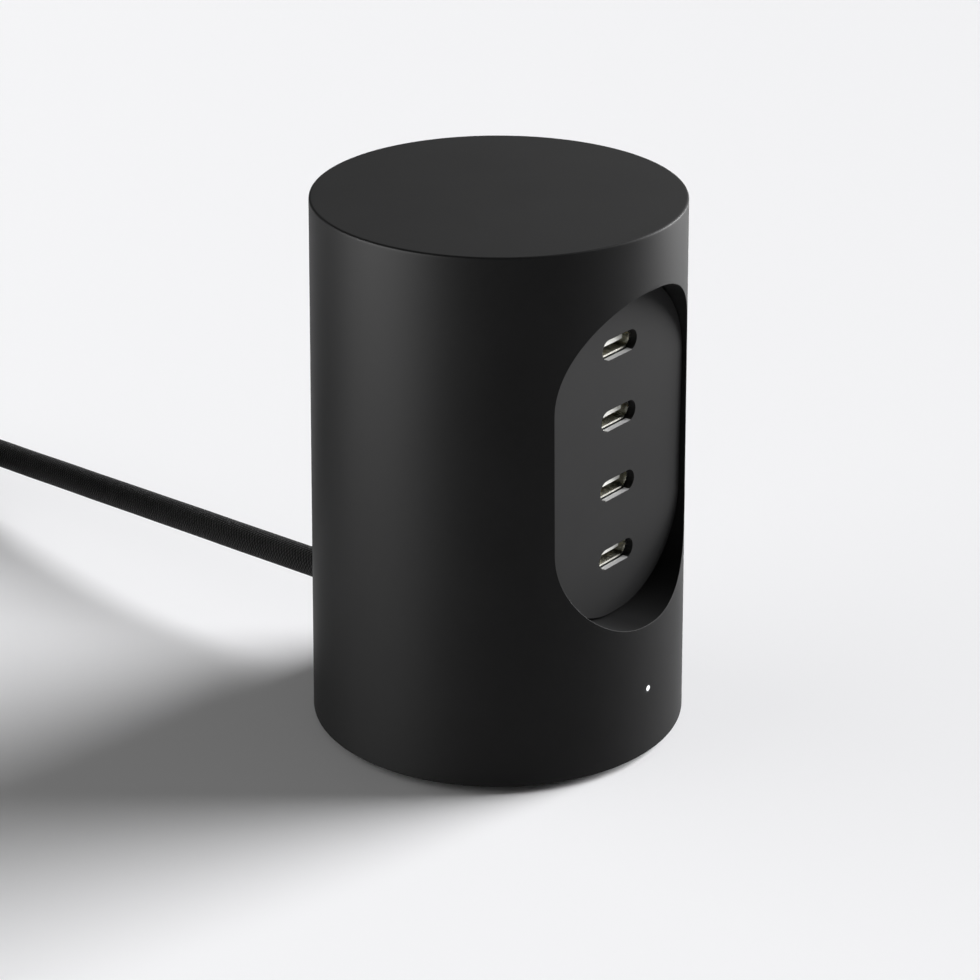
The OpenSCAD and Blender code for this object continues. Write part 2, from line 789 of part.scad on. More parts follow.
// Lead: the free run, the coil, the tail to the plug, and the tie round the coil
module cord_run() color([0.12, 0.12, 0.13]) {
    tube(CORD_ROUTE, cord_d, CORD_SIDES);
}

module cord_tail() color([0.12, 0.12, 0.13]) {
    tube(TAIL_ROUTE, cord_d, CORD_SIDES);
}

module coil_layer(out_r, z0, g) {
    w = out_r - coil_in_r + cord_d;
    translate([(coil_in_r + out_r) / 2, z0 + cord_d / 2]) {
        round_rect(w + 2 * g, cord_d + 2 * g, cord_d / 2 + g);
    }
}

module coil_section(g) {
    coil_layer(coil_low_r, coil_z, g);
    coil_layer(coil_high_r, coil_z + cord_d, g);
    translate([coil_in_r - cord_d / 2 - g, coil_z + cord_d / 2]) {
        square([coil_high_r - coil_in_r + cord_d / 2 + g, cord_d]);
    }
}

module cord_coil() color([0.12, 0.12, 0.13]) translate(coil_centre) {
    rotate_extrude() coil_section(0);
}

module cord_tie() color([0.18, 0.18, 0.18]) translate(coil_centre) {
    rotate(tie_at - tie_angle / 2) rotate_extrude(angle = tie_angle) difference() {
        coil_section(tie_t);
        coil_section(0);
    }
}

// Plug: a flat body that narrows to its strain relief, two part-insulated pins
module plug_place() {
    translate(plug_pos) rotate(-90) children();
}

module pin_bars(x0, x1, d) {
    for (y = [-1, 1]) translate([x0, y * pin_spacing / 2, 0]) rotate([0, 90, 0]) cylinder(d = d, h = x1 - x0);
}

plug_face_x = plug_relief_len + plug_len;

module plug_body() color([0.1, 0.1, 0.1]) plug_place() {
    shoulder = plug_relief_len + 8;
    difference() {
        union() {
            intersection() {
                translate([0, 0, -plug_t / 2]) linear_extrude(plug_t) {
                    polygon([[plug_relief_len - 2, -plug_back_w / 2], [shoulder, -plug_w / 2],
                        [plug_face_x, -plug_w / 2], [plug_face_x, plug_w / 2],
                        [shoulder, plug_w / 2], [plug_relief_len - 2, plug_back_w / 2]]);
                }
                rotate([90, 0, 90]) linear_extrude(plug_face_x) round_rect(plug_w, plug_t, plug_edge_r);
            }
            rotate([0, 90, 0]) cylinder(d1 = cord_d + 2, d2 = plug_t - 2, h = plug_relief_len);
        }
        rotate([0, -90, 0]) translate([0, 0, -6]) cylinder(d = cord_d, h = 6 + through);
        pin_bars(plug_face_x - pin_root, plug_face_x + through, pin_core_d);
    }
}

module plug_sleeves() color([0.1, 0.1, 0.1]) plug_place() {
    difference() {
        pin_bars(plug_face_x, plug_face_x + pin_sleeve_len, pin_sleeve_d);
        pin_bars(plug_face_x - through, plug_face_x + pin_sleeve_len + through, pin_core_d);
    }
}

module plug_pins() color([0.82, 0.82, 0.8]) plug_place() {
    pin_bars(plug_face_x - pin_root, plug_face_x + pin_sleeve_len, pin_core_d);
    pin_bars(plug_face_x + pin_sleeve_len, plug_face_x + pin_len, pin_d);
}

housing();
base_cover();
foot_ring();
cover_screws();
port_panel();
for (i = [1:PORTS]) {
    usb_shell(i);
    usb_insulator(i);
}
usb_contacts();
light_pipe();
status_led();
port_board();
port_inductors();
port_controllers();
port_capacitors();
board_header();
main_board();
power_chips();
bridge_rectifier();
x_capacitor();
fuse();
choke_base();
choke_core();
choke_windings();
transformer_core();
transformer_bobbin();
transformer_winding();
bulk_capacitors();
thermal_pad();
heat_spreader();
spreader_screws();
inner_frame();
top_brace();
top_pad();
cord_gland();
cord_clamp();
clamp_screws();
lead_live();
lead_neutral();
cord_run();
cord_coil();
cord_tail();
cord_tie();
plug_body();
plug_sleeves();
plug_pins();
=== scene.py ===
"""Looks of a round desktop USB charger: a matt black tapered tower with a sunken panel of four
USB-C ports, a status light, and a braided mains lead that lies coiled behind its left side.

Metres, Z up, the table at z = 0. The ports face -Y and the lead leaves towards +Y.
"""

import json
import math

import bmesh
import bpy
from mathutils import Matrix, Vector


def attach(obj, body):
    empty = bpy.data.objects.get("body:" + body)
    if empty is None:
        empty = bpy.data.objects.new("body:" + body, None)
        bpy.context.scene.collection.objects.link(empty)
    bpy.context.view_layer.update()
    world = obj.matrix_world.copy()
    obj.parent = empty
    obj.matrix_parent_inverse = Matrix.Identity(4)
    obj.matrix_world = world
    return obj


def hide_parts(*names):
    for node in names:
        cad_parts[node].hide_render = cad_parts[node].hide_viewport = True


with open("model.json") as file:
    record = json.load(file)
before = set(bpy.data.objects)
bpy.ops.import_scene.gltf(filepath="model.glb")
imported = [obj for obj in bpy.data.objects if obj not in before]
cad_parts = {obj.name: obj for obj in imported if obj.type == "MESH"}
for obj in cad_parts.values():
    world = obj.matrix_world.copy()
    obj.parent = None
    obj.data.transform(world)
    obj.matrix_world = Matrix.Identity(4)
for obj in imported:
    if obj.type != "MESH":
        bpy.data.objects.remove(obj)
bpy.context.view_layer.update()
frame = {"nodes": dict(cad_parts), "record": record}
scene = bpy.context.scene
MM = 0.001


# The camera, as it was solved from the tower's outlines
CAMERA_AT = Vector((-0.387495, -0.301006, 0.257230))
CAMERA_AHEAD = (0.7897, 0.6134)
CAMERA_PAN = 0.158        # degrees, to the left
CAMERA_TILT = 23.922      # degrees, down
CAMERA_ROLL = 0.060       # degrees
LENS, SENSOR = 120.16, 36  # mm
NEAREST, FARTHEST = 0.01, 100


def place_camera():
    """Puts the camera where the photo was taken from."""
    heading = math.atan2(CAMERA_AHEAD[1], CAMERA_AHEAD[0]) + math.radians(CAMERA_PAN)
    tilt, roll = math.radians(CAMERA_TILT), math.radians(CAMERA_ROLL)
    level = math.cos(tilt)
    ahead = Vector((math.cos(heading) * level, math.sin(heading) * level, -math.sin(tilt)))
    right = ahead.cross(Vector((0, 0, 1))).normalized()
    up = right.cross(ahead)
    turned_right = right * math.cos(roll) + up * math.sin(roll)
    turned_up = up * math.cos(roll) - right * math.sin(roll)
    data = bpy.data.cameras.new("camera")
    data.lens = LENS
    data.sensor_width = SENSOR
    data.clip_start, data.clip_end = NEAREST, FARTHEST
    camera = bpy.data.objects.new("camera", data)
    scene.collection.objects.link(camera)
    turn = Matrix((turned_right, turned_up, -ahead)).transposed().to_4x4()
    camera.matrix_world = Matrix.Translation(CAMERA_AT) @ turn
    scene.camera = camera


place_camera()
scene.view_settings.view_transform = "Standard"


# Small helpers
def linear(hex_colour):
    """An sRGB hex colour as a linear RGBA tuple."""
    parts = [int(hex_colour[i:i + 2], 16) / 255 for i in (1, 3, 5)]
    return tuple(c / 12.92 if c <= 0.04045 else ((c + 0.055) / 1.055) ** 2.4 for c in parts) + (1,)


def add(tree, kind, settings=None, **inputs):
    """Adds a node. Settings are its properties, inputs are values or sockets.

    An input goes by its socket's name, with _ for a space, or by _ and its number.
    """
    node = tree.nodes.new(kind)
    for name, value in (settings or {}).items():
        setattr(node, name, value)
    for name, value in inputs.items():
        socket = node.inputs[int(name[1:]) if name[0] == "_" else name.replace("_", " ")]
        if isinstance(value, bpy.types.NodeSocket):
            tree.links.new(value, socket)
        else:
            socket.default_value = value
    return node


def ramp_between(tree, factor, low, high, start=0.0, end=1.0):
    """A two-colour ramp over factor, with sRGB hex ends."""
    node = add(tree, "ShaderNodeValToRGB", Fac=factor)
    node.color_ramp.elements[0].position = start
    node.color_ramp.elements[0].color = linear(low)
    node.color_ramp.elements[1].position = end
    node.color_ramp.elements[1].color = linear(high)
    return node.outputs["Color"]


def finish_of(name, roughness, metallic=0.0, specular=0.5, **constants):
    """A new material with its Principled shader. Returns material, node tree and shader."""
    material = bpy.data.materials.new(name)
    material.use_nodes = True
    tree = material.node_tree
    tree.nodes.clear()
    shader = add(tree, "ShaderNodeBsdfPrincipled")
    shader.inputs["Roughness"].default_value = roughness
    shader.inputs["Metallic"].default_value = metallic
    shader.inputs["Specular IOR Level"].default_value = specular
    for key, value in constants.items():
        shader.inputs[key.replace("_", " ")].default_value = value
    add(tree, "ShaderNodeOutputMaterial", Surface=shader.outputs["BSDF"])
    return material, tree, shader


def connect(tree, shader, colour=None, roughness=None, height=None, depth_mm=0.01):
    """Feeds a pattern to the shader: its colour, its roughness, and its height as bump."""
    if colour is not None:
        tree.links.new(colour, shader.inputs["Base Color"])
    if roughness is not None:
        tree.links.new(roughness, shader.inputs["Roughness"])
    if height is not None:
        bump = add(tree, "ShaderNodeBump", Height=height, Strength=1.0, Distance=depth_mm * MM)
        tree.links.new(bump.outputs["Normal"], shader.inputs["Normal"])


def object_space(tree):
    """Each piece's own place in metres, so that a pattern keeps its real size."""
    return add(tree, "ShaderNodeTexCoord").outputs["Object"]


def grain(tree, size_mm, detail=2.0, rough=0.5, place=None):
    """Noise whose grains are about size_mm across."""
    vector = place if place is not None else object_space(tree)
    return add(tree, "ShaderNodeTexNoise", Vector=vector, Scale=1 / (size_mm * MM), Detail=detail,
               Roughness=rough).outputs["Fac"]


def spread(tree, value, low, high):
    """Maps 0..1 to low..high."""
    return add(tree, "ShaderNodeMapRange", Value=value, To_Min=low, To_Max=high).outputs["Result"]


# Finishes
MIDDLE = (0.3, 0.7)       # the part of a noise's range in which nearly all of it lies
ROUGHNESS_SPREAD = 0.04   # how far the grain moves a plastic's roughness either way
METAL_SPREAD = (-0.06, 0.08)


def moulded(name, dark, light, roughness, specular, grain_mm, depth_mm, mottle_mm):
    """Injection-moulded or pressed: an even colour with the fine texture of its tool."""
    material, tree, shader = finish_of(name, roughness, specular=specular)
    mottle = grain(tree, mottle_mm, 3.0)
    fine = grain(tree, grain_mm, 2.0, 0.6)
    connect(tree, shader, ramp_between(tree, mottle, dark, light, *MIDDLE),
            spread(tree, fine, roughness - ROUGHNESS_SPREAD, roughness + ROUGHNESS_SPREAD), fine,
            depth_mm)
    return material


def metal(name, dark, light, roughness, streak=(1, 1, 1), streak_mm=0.3, depth_mm=0.002):
    """Bare metal: fine marks of its making, stretched along one direction."""
    material, tree, shader = finish_of(name, roughness, metallic=1.0)
    place = add(tree, "ShaderNodeMapping", Vector=object_space(tree), Scale=streak)
    marks = grain(tree, streak_mm, 3.0, 0.6, place.outputs["Vector"])
    connect(tree, shader, ramp_between(tree, marks, dark, light, *MIDDLE),
            spread(tree, marks, *(roughness + change for change in METAL_SPREAD)), marks, depth_mm)
    return material


def soft_rubber(name, dark, light, grain_mm):
    """Moulded rubber: dull, slightly dusty, with a fine leathery grain."""
    material, tree, shader = finish_of(name, 0.75, specular=0.1)
    cells = grain(tree, grain_mm, 3.0, 0.6)
    connect(tree, shader, ramp_between(tree, cells, dark, light, start=0.25, end=0.75),
            height=cells, depth_mm=0.02)
    return material


# The braid's dots: how many lie round the lead, how far apart they lie along it, how narrow a
# dot's crown is, and the width and share of the fine fuzz on them
BRAID_CELLS = 14
BRAID_PITCH_MM = 0.63
CROWN = 0.8
FUZZ_MM, FUZZ_SHARE = 0.09, 0.25


def braided_polyester():
    """Braided polyester: fine crossing strands in rows of small dots, the crowns painted lighter as
    a painted highlight and the gaps painted darker as painted shade.
    """
    material, tree, shader = finish_of("braided_polyester", 0.6, specular=0.05, Sheen_Weight=0.08,
                                       Sheen_Roughness=0.2)
    uv = add(tree, "ShaderNodeUVMap", {"uv_map": "UVMap"}).outputs["UV"]
    axes = add(tree, "ShaderNodeSeparateXYZ", Vector=uv)

    def maths(operation, first, second=0.0):
        return add(tree, "ShaderNodeMath", {"operation": operation}, _0=first, _1=second).outputs[0]

    around = maths("MULTIPLY", axes.outputs["X"], float(BRAID_CELLS))
    along = maths("MULTIPLY", axes.outputs["Y"], 1 / (BRAID_PITCH_MM * MM))
    left = maths("ADD", around, along)
    right = maths("SUBTRACT", around, along)
    humps = [maths("ABSOLUTE", maths("SINE", maths("MULTIPLY", turn, math.pi)))
             for turn in (left, right)]
    hump = maths("POWER", maths("MULTIPLY", humps[0], humps[1]), CROWN)
    fuzz = grain(tree, FUZZ_MM, 2.0, 0.7)
    height = maths("ADD", hump, maths("MULTIPLY", fuzz, FUZZ_SHARE))
    # The colour follows the dots' height: painted highlight on the crowns, painted shade in the
    # gaps between them.
    connect(tree, shader, ramp_between(tree, hump, "#020202", "#1f1f1f", start=0.4, end=0.9),
            spread(tree, fuzz, 0.5, 0.7), height, depth_mm=0.3)
    return material


LOOPS_MM = 0.8            # from loop to loop of the tape


def woven_tape():
    """Black hook-and-loop tape: a coarse dull weave."""
    material, tree, shader = finish_of("hook_and_loop_tape", 0.85, specular=0.05, Sheen_Weight=0.05)
    loops = add(tree, "ShaderNodeTexVoronoi", Vector=object_space(tree), Scale=1 / (LOOPS_MM * MM))
    height = loops.outputs["Distance"]
    connect(tree, shader, ramp_between(tree, height, "#262626", "#101010"), height=height,
            depth_mm=0.2)
    return material


# The light pipe's axis above the table, and where its glow starts to fade and ends
LIGHT_AXIS_Z = 12.9
GLOW_FADES, GLOW_ENDS = 0.41, 0.52


def glowing_light():
    """Clear polycarbonate light pipe with a white lamp behind it: a white point in a darker rim."""
    material, tree, shader = finish_of("lit_clear_polycarbonate", 0.2, Emission_Strength=1.3)
    connect(tree, shader, ramp_between(tree, grain(tree, 0.5), "#2a2b2e", "#303134"))
    from_axis = add(tree, "ShaderNodeVectorMath", {"operation": "MULTIPLY_ADD"},
                    _0=object_space(tree), _1=(1, 0, 1), _2=(0, 0, -LIGHT_AXIS_Z * MM))
    away = add(tree, "ShaderNodeVectorMath", {"operation": "LENGTH"},
               _0=from_axis.outputs["Vector"])
    glow = add(tree, "ShaderNodeMapRange", Value=away.outputs["Value"],
               From_Min=GLOW_FADES * MM, From_Max=GLOW_ENDS * MM, To_Min=1.0, To_Max=0.0)
    tree.links.new(ramp_between(tree, glow.outputs["Result"], "#000000", "#fdfeff"),
                   shader.inputs["Emission Color"])
    return material


TRACK_MM = 3              # the pattern of the copper tracks


def solder_mask():
    """Green solder mask: glossy lacquer over the slight steps of the copper tracks."""
    material, tree, shader = finish_of("green_solder_mask", 0.3)
    tracks = add(tree, "ShaderNodeTexBrick", Vector=object_space(tree), Scale=1 / (TRACK_MM * MM),
                 Mortar_Size=0.06)
    steps = tracks.outputs["Fac"]
    connect(tree, shader, ramp_between(tree, steps, "#12472a", "#1b6138"), height=steps,
            depth_mm=0.03)
    return material


WIRE_MM = 0.7
BAND = math.pi / 10       # a band of the wave node at scale 1


def wound_copper():
    """Enamelled copper wire, turn beside turn, each with a painted highlight along its crown and
    painted shade in the grooves between turns.
    """
    material, tree, shader = finish_of("enamelled_copper", 0.3)
    wave = add(tree, "ShaderNodeTexWave", {"bands_direction": "X"}, Vector=object_space(tree),
               Scale=BAND / (WIRE_MM * MM), Distortion=0.4)
    turns = wave.outputs["Fac"]
    # The colour follows each turn's height: painted highlight on the crown, painted shade in the
    # grooves.
    connect(tree, shader, ramp_between(tree, turns, "#6e3512", "#c07236"), height=turns,
            depth_mm=0.1)
    return material


# Moulded and pressed finishes by their slot in the record. After its name and its darkest and
# lightest colour, each has its roughness, its specular level, and in millimetres the width and
# the depth of its grain and the width of its faint mottling.
MOULDED = {
    # a fine spark texture, which spreads the highlight into a soft band
    "housing_black": ("spark_textured_polycarbonate", "#1c1c1c", "#1f1f1f", 0.48, 0.036, 0.14,
                      0.0025, 14),
    # a shade lighter than the housing, and quite without shine
    "panel_grey": ("fine_matt_abs", "#232323", "#252525", 0.6, 0.03, 0.12, 0.002, 10),
    # a light grey painted highlight on the upward floor of each port's slot, which shows as a
    # bright bar where the light catches it
    "slot_floor": ("slot_floor_painted_highlight", "#a2a2a2", "#a7a7a7", 0.5, 0.2, 0.1, 0.001, 2),
    # a coarser tool texture than the housing's, dull
    "cover_black": ("textured_base_cover", "#1a1a1a", "#202020", 0.6, 0.3, 0.4, 0.02, 9),
    # dense white polymer, with a soft shine
    "port_white": ("white_port_polymer", "#e9e9e2", "#f4f4ee", 0.4, 0.5, 0.2, 0.001, 2),
    # warm white cast resin, with a small highlight
    "led_white": ("lamp_resin", "#f4f0dc", "#fdfbee", 0.3, 0.5, 0.16, 0.004, 9),
    # filled epoxy, dull black with a sandy grain
    "chip_black": ("black_epoxy", "#151515", "#1d1d1d", 0.55, 0.4, 0.12, 0.006, 9),
    # mid grey with a faint powdery grain
    "coil_grey": ("pressed_iron_powder", "#53555a", "#66686d", 0.6, 0.4, 0.2, 0.02, 1),
    # dark stone-like grey
    "ferrite": ("sintered_ferrite", "#2e2e31", "#3a3a3e", 0.5, 0.4, 0.3, 0.02, 2),
    # a glossy film, slightly wavy from shrinking
    "sleeve_blue": ("blue_shrink_sleeve", "#141c40", "#1b2552", 0.25, 0.5, 3, 0.03, 6),
    # a shiny moulded box
    "film_yellow": ("yellow_film_capacitor", "#cf9f1d", "#ddb02e", 0.35, 0.5, 0.5, 0.004, 9),
    # an off-white tube with a dry shine
    "fuse_ceramic": ("fired_ceramic", "#d6d1c0", "#e6e2d4", 0.5, 0.4, 0.2, 0.004, 9),
    # smooth tape over the turns of the winding
    "tape_yellow": ("polyester_tape", "#c79a1c", "#d8ab2c", 0.3, 0.5, 2, 0.01, 4),
    # plain mid grey with a light texture
    "frame_grey": ("flame_proof_nylon", "#55575a", "#5f6164", 0.55, 0.4, 0.2, 0.008, 9),
    # smooth extruded insulation
    "wire_brown": ("brown_insulation", "#4a2a16", "#55321c", 0.35, 0.5, 0.3, 0.002, 3),
    "wire_blue": ("blue_insulation", "#1c3f86", "#224a99", 0.35, 0.5, 0.3, 0.002, 3),
    # dull black, a little smoother than the base cover
    "plug_black": ("matt_black_plug", "#161616", "#1b1b1b", 0.5, 0.05, 0.3, 0.006, 9),
}
# Bare metals: colours, roughness, how the marks are stretched, and for some their width and depth
METALS = {
    # dull zinc, with an even grain
    "screw_steel": ("zinc_plated_steel", "#9a9b9e", "#b9babd", 0.32),
    # faint lines along the draw, and a cut edge that catches the light
    "port_steel": ("drawn_stainless_steel", "#c9c8be", "#dddcd3", 0.25, (1, 0.15, 1), 0.25, 0.001),
    # bright warm plating
    "contact_gold": ("gold_plating", "#d6b05a", "#e6c674", 0.25),
    # upright draw lines round the can
    "can_aluminium": ("drawn_aluminium_can", "#c6c8cb", "#dadcde", 0.25, (1, 1, 0.1)),
    # the roll's long upright streaks
    "plate_aluminium": ("rolled_aluminium_sheet", "#bfc1c4", "#d0d2d4", 0.38, (1, 1, 0.05)),
    # polished pins, with faint marks along them
    "pin_nickel": ("nickel_plating", "#bdbcb6", "#d4d3cd", 0.18, (0.1, 1, 1)),
}
# Rubbers and foams: colours, and the width of the grain in millimetres
RUBBERS = {
    # dull black, with a faint dusty bloom
    "foot_rubber": ("silicone_foot", "#1c1c1c", "#242424", 0.3),
    # pale, chalky and soft-edged
    "pad_blue": ("silicone_gap_filler", "#8d9db8", "#9dacc6", 0.5),
    # open-looking black cells, the coarsest grain of all
    "foam_black": ("closed_cell_foam", "#1b1b1b", "#2a2a2a", 0.6),
    # the blackest piece, quite dull
    "gland_rubber": ("moulded_strain_relief", "#101010", "#161616", 0.25),
}
# Every finish by its slot in the record, and slot_floor, the slot floors' painted highlight, which
# the record doesn't name
FINISHES = {slot: make(*values) for make, table in ((moulded, MOULDED), (metal, METALS),
                                                    (soft_rubber, RUBBERS))
            for slot, values in table.items()}
FINISHES |= {"light_clear": glowing_light(), "board_green": solder_mask(), "copper": wound_copper(),
             "cord_braid": braided_polyester(), "tie_fabric": woven_tape()}


def dress_nodes():
    """Gives each node of the solid model the finish that its record slot names."""
    for part in frame["record"]["subparts"]:
        mesh = frame["nodes"][part["node"]].data
        mesh.materials.clear()
        mesh.materials.append(FINISHES[part["material_slot"]])


dress_nodes()


# The mains lead: its free run, a two-layer coil and the tail to the plug, in millimetres
LEAD_D = 5.0
LEAD_RUN = [(0, 15, 14.7), (0, 26, 14.7), (0, 38, 14.7), (0, 48, 14.7), (0.3, 58, 14.5),
            (1, 68, 14.1), (2.1, 78, 13.4), (3.4, 88, 12.6), (4.8, 98, 11.7), (6.3, 108, 10.8),
            (7.7, 118, 9.9), (8.9, 128, 9.2), (9.7, 138, 8.6), (10.1, 145, 8.4), (10.2, 152, 8.3)]
LEAD_TAIL = [(-14.2, 182.2, 11.3), (-22.5, 185.9, 12.9), (-31.6, 187.3, 14.5), (-39.6, 185.7, 15.8),
             (-46.4, 181.1, 16.8), (-51, 174.3, 17.5), (-52.6, 166.3, 17.8), (-52.6, 162, 17.8),
             (-52.6, 157, 17.8)]
COIL_CENTRE = (-31.6, 152)
COIL_INNER, COIL_OUTER = 21.0, 41.8
COIL_LOW, COIL_HIGH = 3.3, 8.3
COIL_PITCH = 5.2
LOW_TURNS, HIGH_TURNS = 4, 2.625
LIFT, LIFT_FROM = 1.7, 2.52  # how far the lead rises off the coil to the plug, and from which turn
COIL_STEPS = 36           # points in a turn
LEAD_SIDES = 33
RING_SPACING = 1.5        # along the lead
WELD = 1e-6               # metres, within which the tube's seam is joined


def ease(t):
    """0..1 to 0..1 with a slow start and end."""
    return t * t * (3 - 2 * t)


def coil_points():
    """Down to the table, inward along it, up at the middle, outward on the upper layer."""
    quarter = COIL_STEPS // 4
    low, high = LOW_TURNS * COIL_STEPS, round(HIGH_TURNS * COIL_STEPS)
    points = []
    for k in range(1, 2 * quarter + low + high + 1):
        if k <= quarter:
            radius = COIL_OUTER
            height = COIL_HIGH + (COIL_LOW - COIL_HIGH) * ease(k / quarter)
        elif k <= quarter + low:
            radius, height = COIL_OUTER - COIL_PITCH * (k - quarter) / COIL_STEPS, COIL_LOW
        elif k <= 2 * quarter + low:
            radius = COIL_INNER
            height = COIL_LOW + (COIL_HIGH - COIL_LOW) * ease((k - quarter - low) / quarter)
        else:
            turned = (k - 2 * quarter - low) / COIL_STEPS
            radius, height = COIL_INNER + COIL_PITCH * turned, COIL_HIGH
            height += LIFT * (max(0.0, turned - LIFT_FROM) / (HIGH_TURNS - LIFT_FROM)) ** 2
        angle = math.tau * k / COIL_STEPS
        points.append((COIL_CENTRE[0] + radius * math.cos(angle),
                       COIL_CENTRE[1] + radius * math.sin(angle), height))
    return points


def smooth_path(points):
    """Points along a Catmull-Rom curve through the given ones, in metres."""
    pts = [Vector(p) for p in points]
    pts = [2 * pts[0] - pts[1]] + pts + [2 * pts[-1] - pts[-2]]
    path = []
    for a, b, c, d in zip(pts, pts[1:], pts[2:], pts[3:]):
        pieces = max(1, round((c - b).length / RING_SPACING))
        for k in range(pieces):
            t = k / pieces
            path.append(0.5 * (2 * b + (c - a) * t + (2 * a - 5 * b + 4 * c - d) * t * t
                               + (3 * b - a - 3 * c + d) * t * t * t))
    path.append(pts[-2])
    return [p * MM for p in path]


def sweep_tree():
    """Geometry nodes: sweeps a round section along a curve, with a UV map in turns and metres."""
    tree = bpy.data.node_groups.new("braided_lead", "GeometryNodeTree")
    for name, kind in (("Curve", "Geometry"), ("Diameter", "Float"), ("Sides", "Int"),
                       ("Ring Spacing", "Float"), ("Finish", "Material"), ("Lead", "Geometry")):
        tree.interface.new_socket(name=name, socket_type="NodeSocket" + kind,
                                  in_out="OUTPUT" if name == "Lead" else "INPUT")
    given = add(tree, "NodeGroupInput").outputs
    even = add(tree, "GeometryNodeResampleCurve", {"mode": "LENGTH"}, Curve=given["Curve"],
               Length=given["Ring Spacing"])
    travelled = add(tree, "GeometryNodeSplineParameter").outputs["Length"]
    spine = add(tree, "GeometryNodeCaptureAttribute", {"domain": "POINT"},
                Geometry=even.outputs["Curve"])
    spine.capture_items.new("FLOAT", "Along")
    tree.links.new(travelled, spine.inputs["Along"])
    radius = add(tree, "ShaderNodeMath", {"operation": "MULTIPLY"}, _0=given["Diameter"], _1=0.5)
    section = add(tree, "GeometryNodeCurveArc", {"mode": "RADIUS"}, Resolution=given["Sides"],
                  Radius=radius.outputs[0], Sweep_Angle=math.tau)
    turned = add(tree, "GeometryNodeSplineParameter").outputs["Factor"]
    rim = add(tree, "GeometryNodeCaptureAttribute", {"domain": "POINT"},
              Geometry=section.outputs["Curve"])
    rim.capture_items.new("FLOAT", "Around")
    tree.links.new(turned, rim.inputs["Around"])
    skin = add(tree, "GeometryNodeCurveToMesh", Curve=spine.outputs["Geometry"],
               Profile_Curve=rim.outputs["Geometry"])
    uv = add(tree, "ShaderNodeCombineXYZ", X=rim.outputs["Around"], Y=spine.outputs["Along"])
    stored = add(tree, "GeometryNodeStoreNamedAttribute",
                 {"data_type": "FLOAT2", "domain": "CORNER"}, Geometry=skin.outputs["Mesh"],
                 Name="UVMap", Value=uv.outputs["Vector"])
    closed = add(tree, "GeometryNodeMergeByDistance", Geometry=stored.outputs["Geometry"],
                 Distance=WELD)
    smooth = add(tree, "GeometryNodeSetShadeSmooth", Geometry=closed.outputs["Geometry"])
    real = add(tree, "GeometryNodeRealizeInstances", Geometry=smooth.outputs["Geometry"])
    painted = add(tree, "GeometryNodeSetMaterial", Geometry=real.outputs["Geometry"],
                  Material=given["Finish"])
    add(tree, "NodeGroupOutput", Lead=painted.outputs["Geometry"])
    return tree


def set_input(modifier, tree, name, value):
    """Sets a modifier's input by its socket's identifier."""
    for item in tree.interface.items_tree:
        if item.item_type == "SOCKET" and item.in_out == "INPUT" and item.name == name:
            modifier[item.identifier] = value


def plain_mesh(obj, name):
    """What an object's modifiers make of it, as a new mesh object, and the old one removed."""
    bpy.context.view_layer.update()
    graph = bpy.context.evaluated_depsgraph_get()
    mesh = bpy.data.meshes.new_from_object(obj.evaluated_get(graph), depsgraph=graph)
    made = bpy.data.objects.new(name, mesh)
    scene.collection.objects.link(made)
    bpy.data.objects.remove(obj)
    return made


def edit_mesh(obj, change):
    """Runs change(bm) on an object's mesh."""
    bm = bmesh.new()
    bm.from_mesh(obj.data)
    change(bm)
    bm.to_mesh(obj.data)
    bm.free()


def close_and_face_out(bm):
    """Caps the tube's ends and turns all its faces outwards."""
    bmesh.ops.holes_fill(bm, edges=[e for e in bm.edges if e.is_boundary], sides=0)
    bmesh.ops.recalc_face_normals(bm, faces=bm.faces)


def make_lead():
    """One braided tube along the whole route, from inside the housing to inside the plug."""
    path = smooth_path(LEAD_RUN + coil_points() + LEAD_TAIL)
    data = bpy.data.curves.new("lead_route", "CURVE")
    data.dimensions = "3D"
    data.twist_mode = "Z_UP"
    spline = data.splines.new("POLY")
    spline.points.add(len(path) - 1)
    for point, place in zip(spline.points, path):
        point.co = (*place, 1)
    route = bpy.data.objects.new("lead_route", data)
    scene.collection.objects.link(route)
    tree = sweep_tree()
    sweep = route.modifiers.new("sweep", "NODES")
    sweep.node_group = tree
    for name, value in (("Diameter", LEAD_D * MM), ("Sides", LEAD_SIDES),
                        ("Ring Spacing", RING_SPACING * MM), ("Finish", FINISHES["cord_braid"])):
        set_input(sweep, tree, name, value)
    lead = plain_mesh(route, "mains_lead")
    edit_mesh(lead, close_and_face_out)
    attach(lead, "root")
    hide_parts("cord_run", "cord_coil", "cord_tail")


make_lead()


# The housing, in millimetres: a tapered shell pierced by the recess, the light and the lead
FOOT_GAP = 1.2
BOTTOM_R, TOP_R, HOUSING_H = 31.0, 30.0, 89.6
WALL, ROOF = 2.2, 2.6
TOP_EDGE, RIM_EDGE, BOTTOM_EDGE = 0.35, 0.1, 0.2
RECESS_W, RECESS_H, RECESS_R, RECESS_Z = 35.2, 57.0, 16.9, 51.7
PANEL_BACK, LEDGE_W, LEDGE_T, FRAME_W = 22.4, 1.4, 1.4, 1.6
LIGHT_Z, LIGHT_HOLE_R = 11.7, 0.675
LEAD_Z, LEAD_HOLE_R = 13.5, 4.2
LIGHT_EDGE, LEAD_EDGE = 0.02, 0.15
WALL_RING = 2             # the recess's wall has a ring this far before the panel's seat
